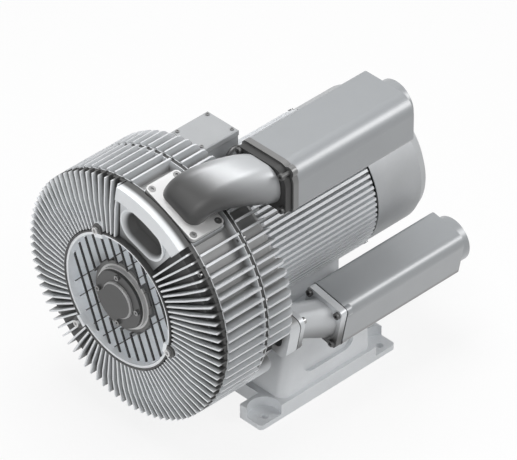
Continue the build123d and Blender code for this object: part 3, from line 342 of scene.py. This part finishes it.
# Painted shade on the elbow's lower front part, towards the port.
elbowUnderShade = {"deep": 0.08, "deepAt": 0.395, "clearAt": 0.488, "front": -0.6, "upward": 1.0}
# Painted light on the port flange, over the painted shade.
portFlangeLight = {"deep": 0.70, "deepAt": 0.5117, "clearAt": 0.5123, "upward": 0.9205, "across": 0.3907}
elbowNeck = {"y": -0.1305, "halfWidth": 0.0078, "reach": 1.0, "tone": 0.04}
skinMaterial("smoothAluminium", elbowLook, [paintLightShadeAndTone(elbowUnderShade), paintLightShadeAndTone(portFlangeLight), darkBand(elbowNeck)])
lowElbowLook = {**elbowLook, "tone": 0.70, "shade": 0.62, "rough": (0.34, 0.44)}
# Painted shade on the lower elbow's underside.
lowElbowUnderShade = {"deep": 0.10, "deepAt": 0.165, "clearAt": 0.225, "upward": 1.0}
skinMaterial("lowElbowAluminium", lowElbowLook, [paintLightShadeAndTone(lowElbowUnderShade)])

# Silencers: grey paint under a satin coat
silencerLook = {**castLook, "tone": 0.26, "shade": 0.24, "cool": 0.055, "grain": 1400.0,
                "rough": (0.40, 0.50), "metal": 0.1, "bump": 0.3,
                "coat": {"Coat Weight": 1.0, "Coat Roughness": 0.32, "Coat IOR": 1.85}}
silencerNeck = {"y": -0.1150, "halfWidth": 0.0078, "reach": 1.0, "tone": 0.08}
# Painted shade along the bottom of each silencer.
silencerBellyShade = {"deep": 0.05, "deepAt": 0.4905, "clearAt": 0.4945, "upward": 1.0}
lowerBellyShade = {"deep": 0.10, "deepAt": 0.152, "clearAt": 0.158, "upward": 1.0}
skinMaterial("silencerPaint", silencerLook, [darkBand(silencerNeck), paintLightShadeAndTone(silencerBellyShade)])
skinMaterial("lowerPaint", silencerLook, [paintLightShadeAndTone(lowerBellyShade)])

# Screws and lifting eye
screwLook = {"tone": 0.36, "shade": 0.26, "grain": 2400.0, "rough": (0.25, 0.38),
             "metal": 1.0, "bump": 0.2, "depth": 0.0001}
skinMaterial("screwSteel", screwLook)
eyeLook = {"tone": 0.14, "shade": 0.08, "grain": 900.0, "rough": (0.32, 0.45),
           "metal": 0.5, "bump": 0.4, "depth": 0.0002}
skinMaterial("eyeSteel", eyeLook)

# Turned and ground steel
turnedMaterial("turnedSteel", {"tone": 0.6, "pitch": 420.0, "metal": 1.0, "bump": 0.15, "depth": 0.0001})
turnedMaterial("bearingSteel", {"tone": 0.72, "pitch": 700.0, "metal": 1.0, "bump": 0.08, "depth": 0.0001})
turnedMaterial("coreSteel", {"tone": 0.36, "pitch": 300.0, "metal": 1.0, "bump": 0.3, "depth": 0.0002})

# Winding, seals, liners and plastic
wireLook = {"metal": 0.9, "bump": 0.8, "depth": 0.0008}
wireSkin = {"Tone": (0.60, 0.26, 0.11, 1), "Shade": (0.42, 0.16, 0.06, 1), "Grain Size": 500.0,
            "Rough Low": 0.3, "Rough High": 0.5}
groupMaterial("copperWire", castSkin, wireSkin, wireLook)
sealLook = {"tone": 0.035, "shade": 0.02, "grain": 1200.0, "rough": (0.55, 0.75),
            "metal": 0.0, "bump": 0.4, "depth": 0.0002}
skinMaterial("sealRubber", sealLook)
foamLook = {"tone": 0.06, "shade": 0.02, "grain": 700.0, "rough": (0.85, 1.0),
            "metal": 0.0, "bump": 1.0, "depth": 0.0015}
skinMaterial("linerFoam", foamLook)
plasticLook = {"tone": 0.045, "shade": 0.03, "grain": 1600.0, "rough": (0.38, 0.5),
               "metal": 0.0, "bump": 0.3, "depth": 0.0002}
skinMaterial("blackPlastic", plasticLook)
print("materials made")

finishes = {
    "castAluminium": ["drive_end_shield", "rear_end_shield", "fan_cover",
                      "first_impeller", "second_impeller"],
    "footAluminium": ["foot_casting"],
    "boxAluminium": ["terminal_box_body", "terminal_box_lid"],
    "coverAluminium": ["front_cover"],
    "bandAluminium": ["centre_housing", "rear_housing"],
    "motorAluminium": ["motor_frame"],
    "hubAluminium": ["hub_insert"],
    "smoothAluminium": ["upper_elbow"],
    "lowElbowAluminium": ["lower_elbow"],
    "silencerPaint": ["upper_silencer"],
    "lowerPaint": ["lower_silencer"],
    "darkCap": ["bearing_cap"],
    "eyeSteel": ["lifting_eye", "silencer_screws"],
    "screwSteel": ["cap_screws", "rim_screws", "elbow_screws", "shield_screws", "frame_screws",
                   "fan_cover_screws", "terminal_box_screws", "motor_foot_screws", "shaft_nut"],
    "turnedSteel": ["rotor_shaft", "impeller_keys", "front_sleeve", "impeller_spacer", "rear_sleeve"],
    "bearingSteel": ["lug_screws", "front_bearing_outer", "front_bearing_inner", "front_bearing_balls",
                     "drive_bearing_outer", "drive_bearing_inner", "drive_bearing_balls",
                     "fan_bearing_outer", "fan_bearing_inner", "fan_bearing_balls"],
    "coreSteel": ["rotor_core", "stator_core"],
    "copperWire": ["stator_winding"],
    "sealRubber": ["housing_seal_rings", "port_gasket", "upper_silencer_gasket", "lower_port_gasket",
                   "lower_silencer_gasket", "front_shaft_seal", "rear_shaft_seal", "terminal_box_gasket"],
    "linerFoam": ["upper_foam_liner", "lower_foam_liner"],
    "blackPlastic": ["terminal_block", "cable_gland", "cooling_fan"],
}


def paintNodes():
    for finish, names in finishes.items():
        material = bpy.data.materials[finish]
        for name in names:
            slots = nodes[name].data.materials
            if not slots:
                slots.append(material)
            for i in range(len(slots)):
                slots[i] = material


paintNodes()
print("CAD nodes painted")


# Floor, light and camera

def backgroundRays(tree):
    # One for the rays that show the background: camera, glossy and transmission rays.
    ray = addNode(tree, "ShaderNodeLightPath")
    pair = addNode(tree, "ShaderNodeMath", operation="MAXIMUM")
    both = addNode(tree, "ShaderNodeMath", operation="MAXIMUM")
    tree.links.new(ray.outputs["Is Camera Ray"], pair.inputs[0])
    tree.links.new(ray.outputs["Is Glossy Ray"], pair.inputs[1])
    tree.links.new(pair.outputs["Value"], both.inputs[0])
    tree.links.new(ray.outputs["Is Transmission Ray"], both.inputs[1])
    return both.outputs["Value"]


def makeStage():
    floorLook = {"size": 30.0, "tone": 0.93, "rough": 0.9, "glow": 0.86}
    bm = bmesh.new()
    bmesh.ops.create_grid(bm, x_segments=1, y_segments=1, size=floorLook["size"] / 2)
    mesh = bpy.data.meshes.new("floor")
    bm.to_mesh(mesh)
    bm.free()
    floor = bpy.data.objects.new("floor", mesh)
    bpy.context.collection.objects.link(floor)
    material = bpy.data.materials.new("paleFloor")
    material.use_nodes = True
    tree = material.node_tree
    shader = tree.nodes["Principled BSDF"]
    fillSockets(shader, {"Base Color": grey(floorLook["tone"]), "Roughness": floorLook["rough"]})
    glow = addNode(tree, "ShaderNodeEmission", {"Color": grey(1.0), "Strength": 1.0})
    share = addNode(tree, "ShaderNodeMath", {1: floorLook["glow"]}, operation="MULTIPLY")
    tree.links.new(backgroundRays(tree), share.inputs[0])
    mix = addNode(tree, "ShaderNodeMixShader")
    tree.links.new(share.outputs["Value"], mix.inputs["Fac"])
    tree.links.new(shader.outputs["BSDF"], mix.inputs[1])
    tree.links.new(glow.outputs["Emission"], mix.inputs[2])
    tree.links.new(mix.outputs["Shader"], tree.nodes["Material Output"].inputs["Surface"])
    mesh.materials.append(material)


def makeWorld():
    skyLook = {"soft": 0.26, "white": 1.0}
    world = bpy.data.worlds.new("studio")
    world.use_nodes = True
    tree = world.node_tree
    tree.nodes.clear()
    out = addNode(tree, "ShaderNodeOutputWorld")
    soft = addNode(tree, "ShaderNodeBackground", {"Color": grey(1.0), "Strength": skyLook["soft"]})
    white = addNode(tree, "ShaderNodeBackground", {"Color": grey(1.0), "Strength": skyLook["white"]})
    mix = addNode(tree, "ShaderNodeMixShader")
    tree.links.new(backgroundRays(tree), mix.inputs["Fac"])
    tree.links.new(soft.outputs["Background"], mix.inputs[1])
    tree.links.new(white.outputs["Background"], mix.inputs[2])
    tree.links.new(mix.outputs["Shader"], out.inputs["Surface"])
    bpy.context.scene.world = world


def makeLamps():
    target = Vector((0, -0.05, 0.3))  # all three lamps face the middle of the blower
    lamps = {
        "keyLamp": {"place": (2.1, 1.9, 2.2), "size": 1.3, "power": 34},
        "topLamp": {"place": (-0.5, 0.1, 3.3), "size": 1.8, "power": 66},
        "fillLamp": {"place": (0.6, -3.2, 1.3), "size": 1.8, "power": 23},
    }
    for name, look in lamps.items():
        light = bpy.data.lights.new(name, "AREA")
        light.shape = "SQUARE"
        light.size = look["size"]
        light.energy = look["power"]
        lamp = bpy.data.objects.new(name, light)
        bpy.context.collection.objects.link(lamp)
        lamp.location = look["place"]
        lamp.rotation_euler = (target - Vector(look["place"])).to_track_quat("-Z", "Y").to_euler()


def makeCamera():
    # The long lens comes near a parallel view. Width is what the view spans at its centre, and the centre
    # lies right and up of the anchor, which is on the blower axis at the front cover's back.
    shot = {"azimuth": 45.76, "elevation": 37.42, "lens": 400.0, "clipEnd": 60.0, "width": 0.9352,
            "anchor": (0.0, -0.309, axisHeight), "right": 0.2286, "up": 0.1114}
    azimuth, elevation = math.radians(shot["azimuth"]), math.radians(shot["elevation"])
    sinA, cosA = math.sin(azimuth), math.cos(azimuth)
    sinE, cosE = math.sin(elevation), math.cos(elevation)
    right = Vector((cosA, sinA, 0))
    up = Vector((-sinA * sinE, cosA * sinE, cosE))
    back = Vector((sinA * cosE, -cosA * cosE, sinE))
    data = bpy.data.cameras.new("camera")
    data.lens = shot["lens"]
    data.clip_end = shot["clipEnd"]
    distance = shot["width"] * shot["lens"] / data.sensor_width
    centre = Vector(shot["anchor"]) + right * shot["right"] + up * shot["up"]
    camera = bpy.data.objects.new("camera", data)
    bpy.context.collection.objects.link(camera)
    camera.location = centre + back * distance
    camera.rotation_euler = back.to_track_quat("Z", "Y").to_euler()
    bpy.context.scene.camera = camera


makeStage()
makeWorld()
makeLamps()
makeCamera()
bpy.context.scene.view_settings.view_transform = "Standard"
print("stage, lamps and camera made")
